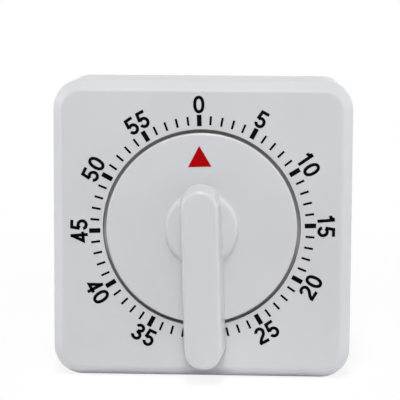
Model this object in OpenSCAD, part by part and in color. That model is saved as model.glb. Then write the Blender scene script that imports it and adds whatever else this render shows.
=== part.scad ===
// Mechanical 60-minute countdown timer: a square moulded case, a dial with a bar
// handle, and a pin-pallet clockwork movement that lets the dial run back to 0
// and then drops a hammer on a bell. Millimetres.
//
// Each piece is drawn in the dial's own frame: the dial axis is Z and points at
// the viewer, Y is up the face, and the face lies at z = 0. stand_up() then
// stands the timer on its lower edge with the face towards -Y.

/* [Case] */
// Width and height of the square case
case_w = 70; // [69:1:90]
// Radius of the case's corners, seen from the front
corner_r = 6.8; // [6.2:0.1:9]
// Width of the bevel round the face
bevel_w = 2.3; // [1.5:0.1:3.2]
// Depth of the bevel round the face
bevel_d = 3; // [1.5:0.1:3.5]
// Radius that softens the bevel's inner edge
bevel_soft_r = 1; // [0.5:0.1:2]
// Height of the dial axis above the middle of the case
axis_rise = 0.6; // [0:0.1:0.8]
// Radius that softens the outer edges of both case halves
edge_r = 0.6; // [0.3:0.1:1]
// Thickness of the case's side walls
wall_t = 1.8; // [1.4:0.1:2]
// Thickness of the housing's face
face_t = 2; // [1.6:0.1:2.4]
// Depth of the well that the dial sits in
well_d = 2.6; // [2.4:0.1:4]
// Thickness of the well's floor and wall
well_t = 1.3; // [1:0.1:2]

/* [Rear cover] */
// Depth of the rear cover's side wall
cover_d = 4; // [3.5:0.5:6]
// Thickness of the rear cover's back
back_t = 2; // [1.6:0.1:2.4]
// Height of the lip that enters the housing
lip_h = 2; // [1:0.1:3]
// Thickness of that lip
lip_t = 1.2; // [0.8:0.1:1.4]
// Diameter of the wall magnet
magnet_dia = 20; // [12:0.5:24]
// Thickness of the wall magnet
magnet_t = 2; // [1.5:0.1:3]
// Thickness of the magnet pocket's floor
pocket_floor_t = 1; // [0.8:0.1:1.6]
// Number of sound slots on each side of the magnet
slot_count = 5; // [2:1:6]
// Width of each sound slot
slot_w = 1.4; // [0.8:0.1:2]
// Length of each sound slot
slot_len = 13; // [6:0.5:18]
// Distance from one sound slot to the next
slot_pitch = 3; // [2.4:0.1:3.4]

/* [Dial knob] */
// Diameter of the dial's disc
dial_dia = 44.6; // [40:0.2:48]
// Gap between the disc and the well
dial_gap = 0.85; // [0.4:0.05:1.5]
// Height of the disc above the face
dial_rise = 0.8; // [0.4:0.1:1.4]
// Thickness of the disc
disc_t = 1.6; // [1.2:0.1:2]
// Width of the disc's rim, which reaches down into the well
rim_w = 1.3; // [0.8:0.1:2]
// Gap between that rim and the well's floor
rim_gap = 0.5; // [0.3:0.05:0.6]
// Diameter of the low hub under the handle
hub_dia = 17.2; // [12:0.1:20]
// Height of the hub above the disc
hub_rise = 1.2; // [0.6:0.1:2.5]
// Height of the handle's top above the face
handle_top = 9.3; // [7.5:0.1:14]
// Width of the handle's top
handle_w = 8.5; // [7:0.1:11]
// Inset of the handle's sides from their foot to their top
handle_draft = 0.65; // [0.3:0.05:1]
// Distance from the dial axis to the handle's tip
tip_reach = 31.7; // [26:0.1:33]
// Distance from the dial axis to the handle's other end
tail_reach = 9.8; // [8:0.1:12]
// Radius of the handle's top edge
handle_edge_r = 1; // [0.3:0.1:1.2]
// Depth to which the handle's foot sinks into the disc
foot_sink = 0.3; // [0.2:0.05:0.35]
// Wall of the hollow under the handle
handle_wall = 1.5; // [1.1:0.1:2]
// Turn of the dial and of its printed zero against the case, counter-clockwise
zero_turn = 1.9; // [0:0.1:5]
// Turn of the dial from 0 to its end stop
dial_travel = 347; // [300:1:348]

/* [Movement plates] */
// Distance between the pillars across the movement
pillar_span_x = 47; // [46:0.5:48]
// Gap between the pillars and the cover screws' bosses, up the movement
pillar_gap = 2; // [1.8:0.1:3]
// Distance from the case's inner side to the fixing ears' holes
ear_inset = 4.4; // [4.2:0.1:4.8]
// Distance between the fixing ears' holes up the movement
ear_span_y = 24; // [20:0.5:26]
// Thickness of the front and back plates
plate_t = 0.8; // [0.6:0.1:1.2]
// Margin of the plates outside the pillars' centres
plate_margin = 3; // [2.4:0.1:3]
// Diameter of the pillars
pillar_dia = 4; // [3.4:0.1:4.6]
// Gap between the well's floor and the front plate
movement_gap = 1; // [0.6:0.1:3]

/* [Main arbor] */
// Diameter of the main arbor
main_dia = 3; // [2.6:0.1:3.4]
// Diameter of the main arbor inside the mainspring
core_dia = 4.4; // [4:0.1:5]
// Diameter of the main arbor's rear pivot
rear_pivot_dia = 2; // [1.6:0.1:2.4]
// Depth of the flat on the main arbor's front end
flat_d = 0.5; // [0.3:0.1:0.7]

/* [Wheel train] */
// Teeth of the great wheel
great_teeth = 72; // [68:1:76]
// Module of the great wheel
great_module = 0.4; // [0.38:0.01:0.42]
// Teeth of the second pinion
second_leaves = 9; // [8:1:10]
// Teeth of the second wheel
second_teeth = 60; // [56:1:62]
// Module of the second wheel
second_module = 0.35; // [0.33:0.01:0.36]
// Teeth of the third pinion
third_leaves = 8; // [8:1:10]
// Teeth of the third wheel
third_teeth = 56; // [50:1:60]
// Module of the third wheel
third_module = 0.3; // [0.28:0.01:0.32]
// Teeth of the escape pinion
escape_leaves = 8; // [8:1:10]
// Thickness of the great wheel
great_t = 1.2; // [0.8:0.1:1.6]
// Thickness of the smaller wheels
wheel_t = 0.8; // [0.5:0.1:1.2]
// Diameter of the train's arbors
arbor_dia = 1.2; // [1:0.05:1.3]
// Diameter of the train's pivots
pivot_dia = 0.9; // [0.7:0.05:0.95]
// Direction of the second arbor from the main arbor
second_dir = 225; // [218:1:232]
// Distance from the second wheel back to the third wheel
third_drop = 2.4; // [2:0.1:3]

/* [Escapement] */
// Teeth of the escape wheel
escape_teeth = 15; // [13:1:17]
// Diameter of the escape wheel
escape_dia = 12; // [10:0.2:12.4]
// Escape teeth between the two pallet pins
pallet_span = 3.5; // [2.5:1:3.5]
// Diameter of the pallet pins
pin_dia = 0.7; // [0.5:0.05:0.9]
// Clearance of the pallet pins from the escape teeth at mid swing
pin_gap = 0.45; // [0.4:0.05:0.7]
// Diameter of the inertia wheel
inertia_dia = 11; // [8:0.2:12]
// Thickness of the inertia wheel
inertia_t = 1.2; // [0.8:0.1:1.6]

/* [Mainspring and click] */
// Diameter of the wound mainspring
spring_dia = 22; // [19:0.5:23]
// Width of the mainspring's strip
spring_w = 4.2; // [3.4:0.1:5]
// Thickness of the mainspring's strip
spring_t = 0.3; // [0.2:0.05:0.35]
// Turns of the mainspring
spring_turns = 7; // [5:1:8]
// Teeth of the ratchet wheel
ratchet_teeth = 14; // [13:1:15]
// Diameter of the ratchet wheel
ratchet_dia = 10; // [9.4:0.1:10.6]
// Height of the ratchet's teeth
ratchet_tooth = 1; // [0.8:0.1:1.2]
// Thickness of the ratchet wheel
ratchet_t = 1; // [0.9:0.1:1.4]
// Thickness of the click
click_t = 0.8; // [0.5:0.1:0.8]
// Diameter of the click's hub
click_hub_dia = 2.6; // [2.2:0.1:2.8]

/* [Strike] */
// Diameter of the bell
bell_dia = 40; // [36:0.5:42]
// Depth of the bell
bell_h = 4.6; // [4.2:0.1:7]
// Thickness of the bell's wall
bell_t = 0.7; // [0.5:0.1:1]
// Gap between the back plate and the bell's mouth
bell_gap = 1; // [0.8:0.1:2]
// Diameter of the hammer's head
hammer_dia = 3.6; // [3:0.1:4]
// Gap between the resting hammer and the bell
strike_gap = 0.4; // [0.3:0.05:0.6]
// Width of the hammer's arm and tail
lever_w = 1.6; // [1.2:0.1:2]
// Direction of the hammer arbor from the main arbor
hammer_dir = 26; // [22:1:30]
// Direction of the hammer's arm
arm_dir = -66; // [-72:1:-60]
// Diameter of the strike cam's lobe
cam_dia = 14; // [12.5:0.1:14.4]
// Height of the strike cam's lobe above its rest circle
cam_lift = 1.8; // [1:0.1:2]
// Thickness of the strike cam and of the hammer's levers
cam_t = 1; // [0.8:0.1:1.4]

/* [Screws] */
// Diameter of the screws' shanks
screw_dia = 2.2; // [1.8:0.1:2.4]
// Diameter of the screws' heads
screw_head_dia = 4.2; // [3.6:0.1:4.4]
// Height of the screws' heads
screw_head_h = 1.3; // [1:0.1:1.6]
// Height of the bell screw's flat head
bell_screw_head_h = 0.7; // [0.5:0.1:1]
// Depth to which the cover screws enter the housing
cover_screw_grip = 9; // [6:0.5:12]
// Wall of plastic round each screw
boss_wall = 1.7; // [1.3:0.1:1.8]

/* [Fits] */
// Radial clearance of a turning shaft in its bore
run_fit = 0.05; // [0.03:0.01:0.08]
// Radial clearance of a fixed piece in its seat
seat_fit = 0.02; // [0.01:0.01:0.04]
// Gap between neighbouring wheels along their arbors
layer_gap = 0.3; // [0.25:0.05:0.5]
// Gap between a wheel's teeth and the pieces beside it
side_gap = 0.8; // [0.6:0.1:1]
// Clearance of the rear cover's lip inside the housing
lip_fit = 0.15; // [0.1:0.05:0.3]
// Clearance between a lever and the piece that works it
lever_gap = 0.3; // [0.2:0.05:0.4]

/* [Hidden] */
$fn = 64;

// Radii of what turns
main_r = main_dia / 2;
arbor_r = arbor_dia / 2;
pivot_r = pivot_dia / 2;
dial_r = dial_dia / 2;
well_r = dial_r + dial_gap;
spring_r = spring_dia / 2;
escape_r = escape_dia / 2;
ratchet_r = ratchet_dia / 2;
cam_r = cam_dia / 2;

// Tooth heights, as multiples of the module
wheel_addendum = 1;
pinion_addendum = 0.7;
dedendum = 1.4;
function pitch_r(teeth, module_mm) = teeth * module_mm / 2;
function wheel_tip_r(teeth, module_mm) = pitch_r(teeth, module_mm) + wheel_addendum * module_mm;
great_tip_r = wheel_tip_r(great_teeth, great_module);
third_tip_r = wheel_tip_r(third_teeth, third_module);

// Where the arbors stand, seen from the front. The third, escape and pallet
// arbors share one circle, on which the third wheel clears the mainspring.
function polar(r, a) = [r * cos(a), r * sin(a)];
function heading(a, b) = atan2(b.y - a.y, b.x - a.x);
function corner_angle(ra, rb, d) = acos((ra * ra + rb * rb - d * d) / (2 * ra * rb));
second_reach = pitch_r(great_teeth + second_leaves, great_module);
third_reach = pitch_r(second_teeth + third_leaves, second_module);
escape_reach = pitch_r(third_teeth + escape_leaves, third_module);
pallet_half_angle = pallet_span * 180 / escape_teeth;
pallet_reach = escape_r / cos(pallet_half_angle);
train_orbit = spring_r + third_tip_r + side_gap;
third_dir = second_dir - corner_angle(second_reach, train_orbit, third_reach);
escape_dir = third_dir - corner_angle(train_orbit, train_orbit, escape_reach);
pallet_dir = escape_dir - corner_angle(train_orbit, train_orbit, pallet_reach);
second_at = polar(second_reach, second_dir);
third_at = polar(train_orbit, third_dir);
escape_at = polar(train_orbit, escape_dir);
pallet_at = polar(train_orbit, pallet_dir);

// Turn of a wheel's first tooth, so that each pair is in mesh
function mesh_turn(direction, driver_turn, driver_teeth, driven_teeth) =
    direction + 180
    + ((direction - driver_turn) * driver_teeth / 360 - 0.5) * 360 / driven_teeth;
second_turn = mesh_turn(second_dir, 0, great_teeth, second_leaves);
third_turn = mesh_turn(heading(second_at, third_at), 0, second_teeth, third_leaves);
escape_turn = mesh_turn(heading(third_at, escape_at), 0, third_teeth, escape_leaves);

// Depths behind the face: each *_z is the front side of a layer
well_floor_z = -well_d;
front_z = well_floor_z - well_t - movement_gap;
inner_front_z = front_z - plate_t;
cam_z = inner_front_z - layer_gap;
great_z = cam_z - cam_t - layer_gap;
click_z = great_z - great_t - layer_gap / 2;
second_z = click_z - ratchet_t - layer_gap;
spring_z = second_z - wheel_t - layer_gap;
inner_back_z = spring_z - spring_w - layer_gap;
back_z = inner_back_z - plate_t;
third_z = second_z - third_drop;
fork_z = second_z + layer_gap + wheel_t;
inertia_z = third_z;
mouth_z = back_z - bell_gap;
crown_z = mouth_z - bell_h;
bell_screw_z = crown_z - bell_screw_head_h;

// The case closes behind the bell screw
magnet_fit = 0.1;
case_d = -bell_screw_z + layer_gap + pocket_floor_t + magnet_t;
parting_z = -(case_d - cover_d);
cavity_half = case_w / 2 - wall_t;
lip_half = cavity_half - lip_fit;
lip_r = corner_r - wall_t - lip_fit;
screw_r = screw_dia / 2;
screw_head_r = screw_head_dia / 2;
boss_r = screw_r + boss_wall;
head_sink = screw_head_h + 0.3;
post_skin = 1.5;
// The cover screws stand just inside the rounded corners of the lip
cover_boss_at = lip_half - lip_r + (lip_r - lip_t - boss_r - layer_gap) / sqrt(2);
ear_at = [cavity_half - ear_inset, ear_span_y / 2];
pillar_at = [pillar_span_x / 2,
    cover_boss_at - axis_rise - boss_r - pillar_gap - pillar_dia / 2];

// The bell's centre puts the hammer's hub just inside the bell's wall
lever_hub_r = arbor_r + lever_w;
hammer_orbit = great_tip_r + arbor_r + 2 * side_gap;
hammer_at = polar(hammer_orbit, hammer_dir);
bell_in_r = bell_dia / 2 - bell_t;
bell_at = hammer_at - polar(bell_in_r - lever_hub_r - bell_gap, 45);
hammer_r = hammer_dia / 2;
arm_way = polar(1, arm_dir);
arm_side = [arm_way.y, -arm_way.x];
hammer_from_bell = hammer_at - bell_at;
head_orbit = bell_in_r - hammer_r - strike_gap;
arm_half = hammer_from_bell * arm_way;
arm_len = -arm_half + sqrt(arm_half * arm_half
    - hammer_from_bell * hammer_from_bell + head_orbit * head_orbit);
head_at = hammer_at + arm_len * arm_way;
hammer_z = mouth_z - layer_gap;

// Small sizes of the movement's pieces
end_play = 0.1;
hub_wall = 1.1;
escape_rim_w = 0.8;
fork_w = 1.1;
inertia_rim_w = 1.4;
pillar_screw_grip = 4;
bell_screw_grip = 3;
bore_spare = 0.8;

// Studs and the springs that they hold
press_gap = 0.2;
stud_r = 0.9;
tenon_r = 1.2;
bush_wall = 1.1;
eye_t = 0.4;
mainspring_stud_at = polar(spring_r + stud_r + eye_t - spring_t / 2, -20);
leaf_t = 0.3;
hammer_stud_at = hammer_at + 2.5 * lever_w * arm_side;
arm_press_at = hammer_at + 0.65 * arm_len * arm_way + (lever_w + leaf_t + press_gap) / 2 * arm_side;

// The click hangs on the great wheel and points against the ratchet's turn
click_turn = 300;
click_at = polar(ratchet_r + 3.4, 38);
click_rivet_at = polar(ratchet_r + 6.6, 33);
click_hub_r = click_hub_dia / 2;
click_pin_r = 0.6;
nose_in = polar(ratchet_r - ratchet_tooth + lever_gap, 3);
nose_out = polar(ratchet_r + 0.5, 2.4);
click_heading = heading(nose_in, click_at);
click_back = click_at + polar(click_hub_r, click_heading - 90);
click_front = click_at + polar(click_hub_r, click_heading + 90);

// Outline helpers
function unit(v) = v / norm(v);
// Points of the arc of radius r that rounds corner b of the path a, b, c
function fillet(a, b, c, r, steps = 5) =
    let (to_a = unit(a - b), to_c = unit(c - b), half = acos(to_a * to_c) / 2,
         o = b + unit(to_a + to_c) * r / sin(half),
         p = b + to_a * r / tan(half), q = b + to_c * r / tan(half),
         start = atan2(p.y - o.y, p.x - o.x),
         sweep = (atan2(q.y - o.y, q.x - o.x) - start + 540) % 360 - 180)
    [for (i = [0:steps]) o + polar(r, start + sweep * i / steps)];
function mirrored(points) = [for (i = [len(points) - 1:-1:0]) [-points[i].x, points[i].y]];
// The last points of a closed outline, brought back to the axis for a revolve
function to_axis(points) = concat(points, [[0, points[len(points) - 1].y], [0, points[0].y]]);

module stand_up() {
    translate([0, (handle_top - case_d) / 2, case_w / 2 + axis_rise]) rotate([90, 0, 0]) children();
}

// Moves what is centred on the case from the dial axis to the case's middle
module on_case() {
    translate([0, -axis_rise]) children();
}

// A layer of thickness t whose front side lies at z
module layer(z, t) {
    translate([0, 0, z - t]) linear_extrude(t) children();
}

module rod(z_front, z_end, r) {
    translate([0, 0, z_end]) cylinder(h = z_front - z_end, r = r);
}

module at_corners(half_x, half_y) {
    for (x = [-half_x, half_x], y = [-half_y, half_y]) translate([x, y]) children();
}

// A flat bar from p to q, with square ends
module bar(p, q, w) {
    translate(p) rotate(heading(p, q)) translate([0, -w / 2]) square([norm(q - p), w]);
}

// A square block with rounded corners whose side follows an edge profile.
// profile_full and profile_corner are that profile at half the block's width
// and at its corner radius.
module profiled_block(half, r, profile_full, profile_corner) {
    outline = concat(profile_full, mirrored(profile_full));
    straight = 2 * (half - r);
    rotate([90, 0, 90]) linear_extrude(straight, center = true) polygon(outline);
    rotate([90, 0, 0]) linear_extrude(straight, center = true) polygon(outline);
    at_corners(half - r, half - r) rotate_extrude() polygon(to_axis(profile_corner));
}

// The housing's side, from its open rear edge round the bevel to the face
function housing_profile(half, z_rear, z_face, side_r, soft_r) =
    let (foot = [half, z_face - bevel_d], brow = [half - bevel_w, z_face])
    concat([[half, z_rear]],
           fillet([half, z_rear], foot, brow, side_r),
           fillet(foot, brow, [0, z_face], soft_r));
function cover_profile(half) =
    let (edge = [half, -case_d])
    concat(fillet([0, -case_d], edge, [half, parting_z], 2 * edge_r), [[half, parting_z]]);

module rounded_square(half, r) {
    square([2 * half, 2 * (half - r)], center = true);
    square([2 * (half - r), 2 * half], center = true);
    at_corners(half - r, half - r) circle(r);
}

// Case

module front_housing() {
    half = case_w / 2;
    inner_r = corner_r - wall_t;
    color("white") difference() {
        union() {
            on_case() difference() {
                profiled_block(half, corner_r,
                    housing_profile(half, parting_z, 0, edge_r, bevel_soft_r),
                    housing_profile(corner_r, parting_z, 0, edge_r, bevel_soft_r));
                profiled_block(cavity_half, inner_r,
                    housing_profile(cavity_half, parting_z - 1, -face_t, edge_r, edge_r),
                    housing_profile(inner_r, parting_z - 1, -face_t, edge_r, edge_r));
            }
            rod(-face_t / 2, well_floor_z - well_t, well_r + well_t);
            at_corners(ear_at.x, ear_at.y) rod(-face_t / 2, front_z, boss_r);
            on_case() at_corners(cover_boss_at, cover_boss_at)
                rod(-face_t / 2, parting_z, boss_r);
        }
        difference() {
            rod(1, well_floor_z, well_r);
            rotate(90 + zero_turn + (360 - dial_travel) / 2)
                stop_rib(well_floor_z + stop_h, well_floor_z - well_t / 2);
        }
        rod(0, front_z, main_r + 0.5);
        at_corners(ear_at.x, ear_at.y)
            rod(-post_skin, front_z - 1, screw_r + seat_fit);
        on_case() at_corners(cover_boss_at, cover_boss_at)
            rod(parting_z + cover_screw_grip + 0.5, parting_z - 1, screw_r + seat_fit);
    }
}

module rear_cover() {
    half = case_w / 2;
    floor_z = -case_d + back_t;
    pocket_r = magnet_dia / 2 + magnet_fit;
    first_slot = pocket_r + 2 * pocket_floor_t + slot_w;
    color("white") on_case() difference() {
        union() {
            difference() {
                profiled_block(half, corner_r, cover_profile(half), cover_profile(corner_r));
                layer(parting_z + 1, parting_z + 1 - floor_z)
                    rounded_square(lip_half - lip_t, lip_r - lip_t);
            }
            layer(parting_z + lip_h, lip_h + 0.5) difference() {
                rounded_square(lip_half, lip_r);
                rounded_square(lip_half - lip_t, lip_r - lip_t);
            }
            at_corners(cover_boss_at, cover_boss_at) rod(parting_z, -case_d + edge_r, boss_r);
            rod(-case_d + magnet_t + pocket_floor_t, -case_d + edge_r, pocket_r + pocket_floor_t);
        }
        rod(-case_d + magnet_t, -case_d - 1, pocket_r);
        at_corners(cover_boss_at, cover_boss_at) {
            rod(parting_z + 1, -case_d - 1, screw_r + seat_fit);
            rod(-case_d + head_sink, -case_d - 1, screw_head_r + 0.2);
        }
        for (side = [-1, 1], i = [0:slot_count - 1])
            translate([side * (first_slot + i * slot_pitch), 0]) layer(floor_z + 1, back_t + 2) {
                square([slot_w, slot_len - slot_w], center = true);
                for (end = [-1, 1]) translate([0, end * (slot_len - slot_w) / 2]) circle(slot_w / 2);
            }
    }
}

module wall_magnet() {
    color("dimgray") on_case() translate([0, 0, -case_d]) rotate_extrude() polygon(to_axis(concat(
        [[0, 0]],
        fillet([0, 0], [magnet_dia / 2, 0], [magnet_dia / 2, magnet_t], 0.3, 3),
        fillet([magnet_dia / 2, 0], [magnet_dia / 2, magnet_t], [0, magnet_t], 0.3, 3))));
}

// Dial

// A rib under the disc meets a rib on the well's floor at both ends of the travel
stop_in_r = 14;
stop_out_r = 18;
stop_half = 0.6;
stop_h = well_d + dial_rise - disc_t - lever_gap;
module stop_rib(z_front, z_end) {
    translate([stop_in_r, -stop_half, z_end])
        cube([stop_out_r - stop_in_r, 2 * stop_half, z_front - z_end]);
}
arm_foot_r = handle_w / 2 + handle_draft;
arm_tip_at = [0, -(tip_reach - handle_w / 2)];
arm_end_at = [0, tail_reach - handle_w / 2];
bore_top_z = dial_rise + hub_rise + 3;

function handle_profile() =
    let (foot = [arm_foot_r, dial_rise - foot_sink], brow = [handle_w / 2, handle_top])
    concat([foot], fillet(foot, brow, [0, handle_top], handle_edge_r));

module dial_disc() {
    disc_z = dial_rise - disc_t;
    rim_z = well_floor_z + rim_gap;
    hub_z = dial_rise + hub_rise;
    hub_r = hub_dia / 2;
    sleeve_r = main_r + 2;
    sleeve_z = well_floor_z + lever_gap;
    rotate_extrude($fn = 96) polygon(concat(
        [[0, sleeve_z], [sleeve_r, sleeve_z], [sleeve_r, disc_z], [dial_r - rim_w, disc_z],
         [dial_r - rim_w, rim_z], [dial_r, rim_z]],
        fillet([dial_r, rim_z], [dial_r, dial_rise], [hub_r, dial_rise], 0.5, 4),
        fillet([dial_r, dial_rise], [hub_r, dial_rise], [hub_r, hub_z], 0.15 * hub_rise, 2),
        fillet([hub_r, dial_rise], [hub_r, hub_z], [0, hub_z], 0.8 * hub_rise, 6),
        [[0, hub_z]]));
}

module handle() {
    outline = concat(handle_profile(), mirrored(handle_profile()));
    translate(arm_tip_at) rotate([90, 0, 180])
        linear_extrude(arm_end_at.y - arm_tip_at.y) polygon(outline);
    for (p = [arm_tip_at, arm_end_at])
        translate(p) rotate_extrude() polygon(to_axis(handle_profile()));
}

// The hollow that keeps the handle's wall even, open at the back
module handle_hollow() {
    slot_r = handle_w / 2 - handle_wall;
    layer(handle_top - handle_wall, handle_top - handle_wall + well_d) {
        translate(arm_tip_at) translate([-slot_r, 0])
            square([2 * slot_r, -arm_tip_at.y - main_r - 3]);
        translate(arm_tip_at) circle(slot_r);
    }
}

module dial_knob() {
    bore_r = main_r + seat_fit;
    color("white") rotate(zero_turn) difference() {
        union() {
            difference() {
                union() {
                    dial_disc();
                    handle();
                }
                handle_hollow();
            }
            rotate(90) stop_rib(dial_rise - disc_t / 2, well_floor_z + lever_gap);
        }
        difference() {
            rod(bore_top_z, well_floor_z - 1, bore_r);
            translate([main_r - flat_d + seat_fit, -main_r - 1, well_floor_z - 2])
                cube([main_r, 2 * main_r + 2, bore_top_z - well_floor_z + 3]);
        }
    }
}

// Movement plates

module plate_outline() {
    difference() {
        square(2 * (pillar_at + [plate_margin, plate_margin]), center = true);
        on_case() at_corners(cover_boss_at, cover_boss_at) circle(boss_r + layer_gap);
    }
}

// The pivot holes that both plates share
module pivot_holes() {
    for (p = [second_at, third_at, escape_at, pallet_at])
        translate(p) circle(pivot_r + run_fit);
}

module front_plate() {
    ear_r = screw_r + 1.5;
    color("silver") layer(front_z, plate_t) difference() {
        union() {
            plate_outline();
            for (y = [-ear_at.y, ear_at.y]) translate([0, y])
                square([2 * ear_at.x, 2 * ear_r], center = true);
            at_corners(ear_at.x, ear_at.y) circle(ear_r);
        }
        circle(main_r + bush_wall + seat_fit);
        pivot_holes();
        translate(hammer_at) circle(pivot_r + run_fit);
        at_corners(pillar_at.x, pillar_at.y) circle(tenon_r + seat_fit);
        at_corners(ear_at.x, ear_at.y) circle(screw_r + run_fit);
    }
}

module back_plate() {
    color("silver") layer(inner_back_z, plate_t) difference() {
        plate_outline();
        circle(rear_pivot_dia / 2 + bush_wall + seat_fit);
        pivot_holes();
        translate(hammer_at) circle(arbor_r + run_fit);
        translate(bell_at) circle(tenon_r + seat_fit);
        for (p = [mainspring_stud_at, hammer_stud_at]) translate(p) circle(stud_r + seat_fit);
        at_corners(pillar_at.x, pillar_at.y) circle(screw_r + run_fit);
    }
}

module plate_pillars() {
    bore_d = pillar_screw_grip + bore_spare;
    color("silver") at_corners(pillar_at.x, pillar_at.y) difference() {
        union() {
            rod(inner_front_z, inner_back_z, pillar_dia / 2);
            rod(front_z, inner_front_z - 1, tenon_r);
        }
        rod(inner_back_z + bore_d, inner_back_z - 1, screw_r + seat_fit);
    }
}

// A pan-head screw whose head bears on the plane z_seat. It points forwards to z_tip.
module screw(z_seat, z_tip, head_h) {
    slot_w = 0.6;
    difference() {
        union() {
            rod(z_tip, z_seat - head_h / 2, screw_r);
            translate([0, 0, z_seat - head_h]) rotate_extrude() polygon(to_axis(concat(
                fillet([0, 0], [screw_head_r, 0], [screw_head_r, head_h], head_h / 3),
                [[screw_head_r, head_h]])));
        }
        for (turn = [0, 90]) rotate(turn)
            layer(z_seat - head_h / 2, head_h) square([1.3 * screw_head_r, slot_w], center = true);
    }
}

module pillar_screws() {
    color("gainsboro") at_corners(pillar_at.x, pillar_at.y)
        screw(back_z, inner_back_z + pillar_screw_grip, screw_head_h);
}

module movement_screws() {
    color("gainsboro") at_corners(ear_at.x, ear_at.y)
        screw(inner_front_z, -post_skin - 0.4, screw_head_h);
}

module cover_screws() {
    color("gainsboro") on_case() at_corners(cover_boss_at, cover_boss_at)
        screw(-case_d + head_sink, parting_z + cover_screw_grip, screw_head_h);
}

// Main arbor and what turns with it

module arbor_bushes() {
    collar = 0.15;
    color("goldenrod") {
        difference() {
            rod(front_z + collar, inner_front_z - collar, main_r + bush_wall);
            rod(front_z + 1, inner_front_z - 1, main_r + run_fit);
        }
        difference() {
            rod(inner_back_z + collar, back_z - collar, rear_pivot_dia / 2 + bush_wall);
            rod(inner_back_z + 1, back_z - 1, rear_pivot_dia / 2 + run_fit);
        }
    }
}

module main_arbor() {
    flat_end_z = well_floor_z;
    color("silver") difference() {
        rotate_extrude() polygon([
            [0, bore_top_z - 0.3], [main_r - 0.3, bore_top_z - 0.3], [main_r, bore_top_z - 0.6],
            [main_r, spring_z], [core_dia / 2, spring_z],
            [core_dia / 2, inner_back_z + layer_gap], [rear_pivot_dia / 2, inner_back_z + layer_gap],
            [rear_pivot_dia / 2, back_z], [0, back_z]]);
        rotate(zero_turn) translate([main_r - flat_d, -main_r - 1, flat_end_z])
            cube([main_r, 2 * main_r + 2, bore_top_z - flat_end_z + 1]);
    }
}

// A snail: its lobe rises to the drop edge, which stands just past the hammer's tail
module strike_cam() {
    drop_dir = 94;
    ramp = 70;
    low_r = cam_r - cam_lift;
    color("goldenrod") layer(cam_z, cam_t) difference() {
        polygon([
            for (a = [0:5:ramp]) polar(cam_r - cam_lift * a / ramp, drop_dir + a),
            for (a = [ramp + 5:5:360]) polar(low_r, drop_dir + a)]);
        circle(main_r + seat_fit);
    }
}

module ratchet_wheel() {
    color("silver") layer(click_z, ratchet_t) difference() {
        polygon([for (i = [0:ratchet_teeth - 1], r = [ratchet_r, ratchet_r - ratchet_tooth])
            polar(r, click_turn + i * 360 / ratchet_teeth)]);
        circle(main_r + seat_fit);
    }
}

// Toothed wheels

// One tooth: fraction of the pitch from its middle, and height in modules
wheel_tooth = [[-0.25, -dedendum], [-0.215, -0.1], [-0.08, wheel_addendum],
               [0.08, wheel_addendum], [0.215, -0.1], [0.25, -dedendum]];
pinion_leaf = [[-0.13, -dedendum], [-0.16, 0], [-0.07, pinion_addendum],
               [0.07, pinion_addendum], [0.16, 0], [0.13, -dedendum]];

module toothed(teeth, module_mm, tooth, turn = 0) {
    polygon([for (i = [0:teeth - 1], p = tooth)
        polar(pitch_r(teeth, module_mm) + p.y * module_mm, turn + (i + p.x) * 360 / teeth)]);
}

// The windows between a wheel's spokes
module crossings(hub_r, rim_r, spokes, spoke_w) {
    difference() {
        circle(rim_r);
        circle(hub_r);
        for (i = [0:spokes - 1]) rotate(i * 360 / spokes) translate([0, -spoke_w / 2])
            square([rim_r + 1, spoke_w]);
    }
}

module great_wheel() {
    hole_r = 2.4;
    hole_orbit = (main_r + great_tip_r) / 2 + 1;
    color("goldenrod") layer(great_z, great_t) difference() {
        toothed(great_teeth, great_module, wheel_tooth);
        circle(main_r + run_fit);
        rotate(click_turn) {
            translate(click_at) circle(click_pin_r + seat_fit);
            translate(click_rivet_at) circle(click_pin_r + seat_fit);
            for (i = [1:4]) rotate(36 + 72 * i) translate([hole_orbit, 0]) circle(hole_r);
        }
    }
}

module train_wheel(z, teeth, module_mm) {
    rim_r = pitch_r(teeth, module_mm) - (dedendum + 2.2) * module_mm;
    layer(z, wheel_t) difference() {
        toothed(teeth, module_mm, wheel_tooth);
        crossings(arbor_r + hub_wall, rim_r, 4, hub_wall);
        circle(arbor_r + seat_fit);
    }
}

// A steel arbor between the plates, with a pivot at each end
module pivoted_arbor() {
    rotate_extrude() polygon([
        [0, front_z], [pivot_r, front_z], [pivot_r, inner_front_z - end_play],
        [arbor_r, inner_front_z - end_play], [arbor_r, inner_back_z + end_play],
        [pivot_r, inner_back_z + end_play], [pivot_r, back_z], [0, back_z]]);
}

// An arbor cut in one piece with a pinion that spans the wheel at wheel_z
module pinion_arbor(leaves, module_mm, wheel_z, wheel_thickness, turn) {
    overlap = 0.15;
    pivoted_arbor();
    layer(wheel_z + overlap, wheel_thickness + 2 * overlap)
        toothed(leaves, module_mm, pinion_leaf, turn);
}

module second_arbor() {
    color("silver") translate(second_at)
        pinion_arbor(second_leaves, great_module, great_z, great_t, second_turn);
}

module second_wheel() {
    color("ivory") translate(second_at) train_wheel(second_z, second_teeth, second_module);
}

module third_arbor() {
    color("silver") translate(third_at)
        pinion_arbor(third_leaves, second_module, second_z, wheel_t, third_turn);
}

module third_wheel() {
    color("ivory") translate(third_at) train_wheel(third_z, third_teeth, third_module);
}

module escape_arbor() {
    color("silver") translate(escape_at)
        pinion_arbor(escape_leaves, third_module, third_z, wheel_t, escape_turn);
}

// Escapement

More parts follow.
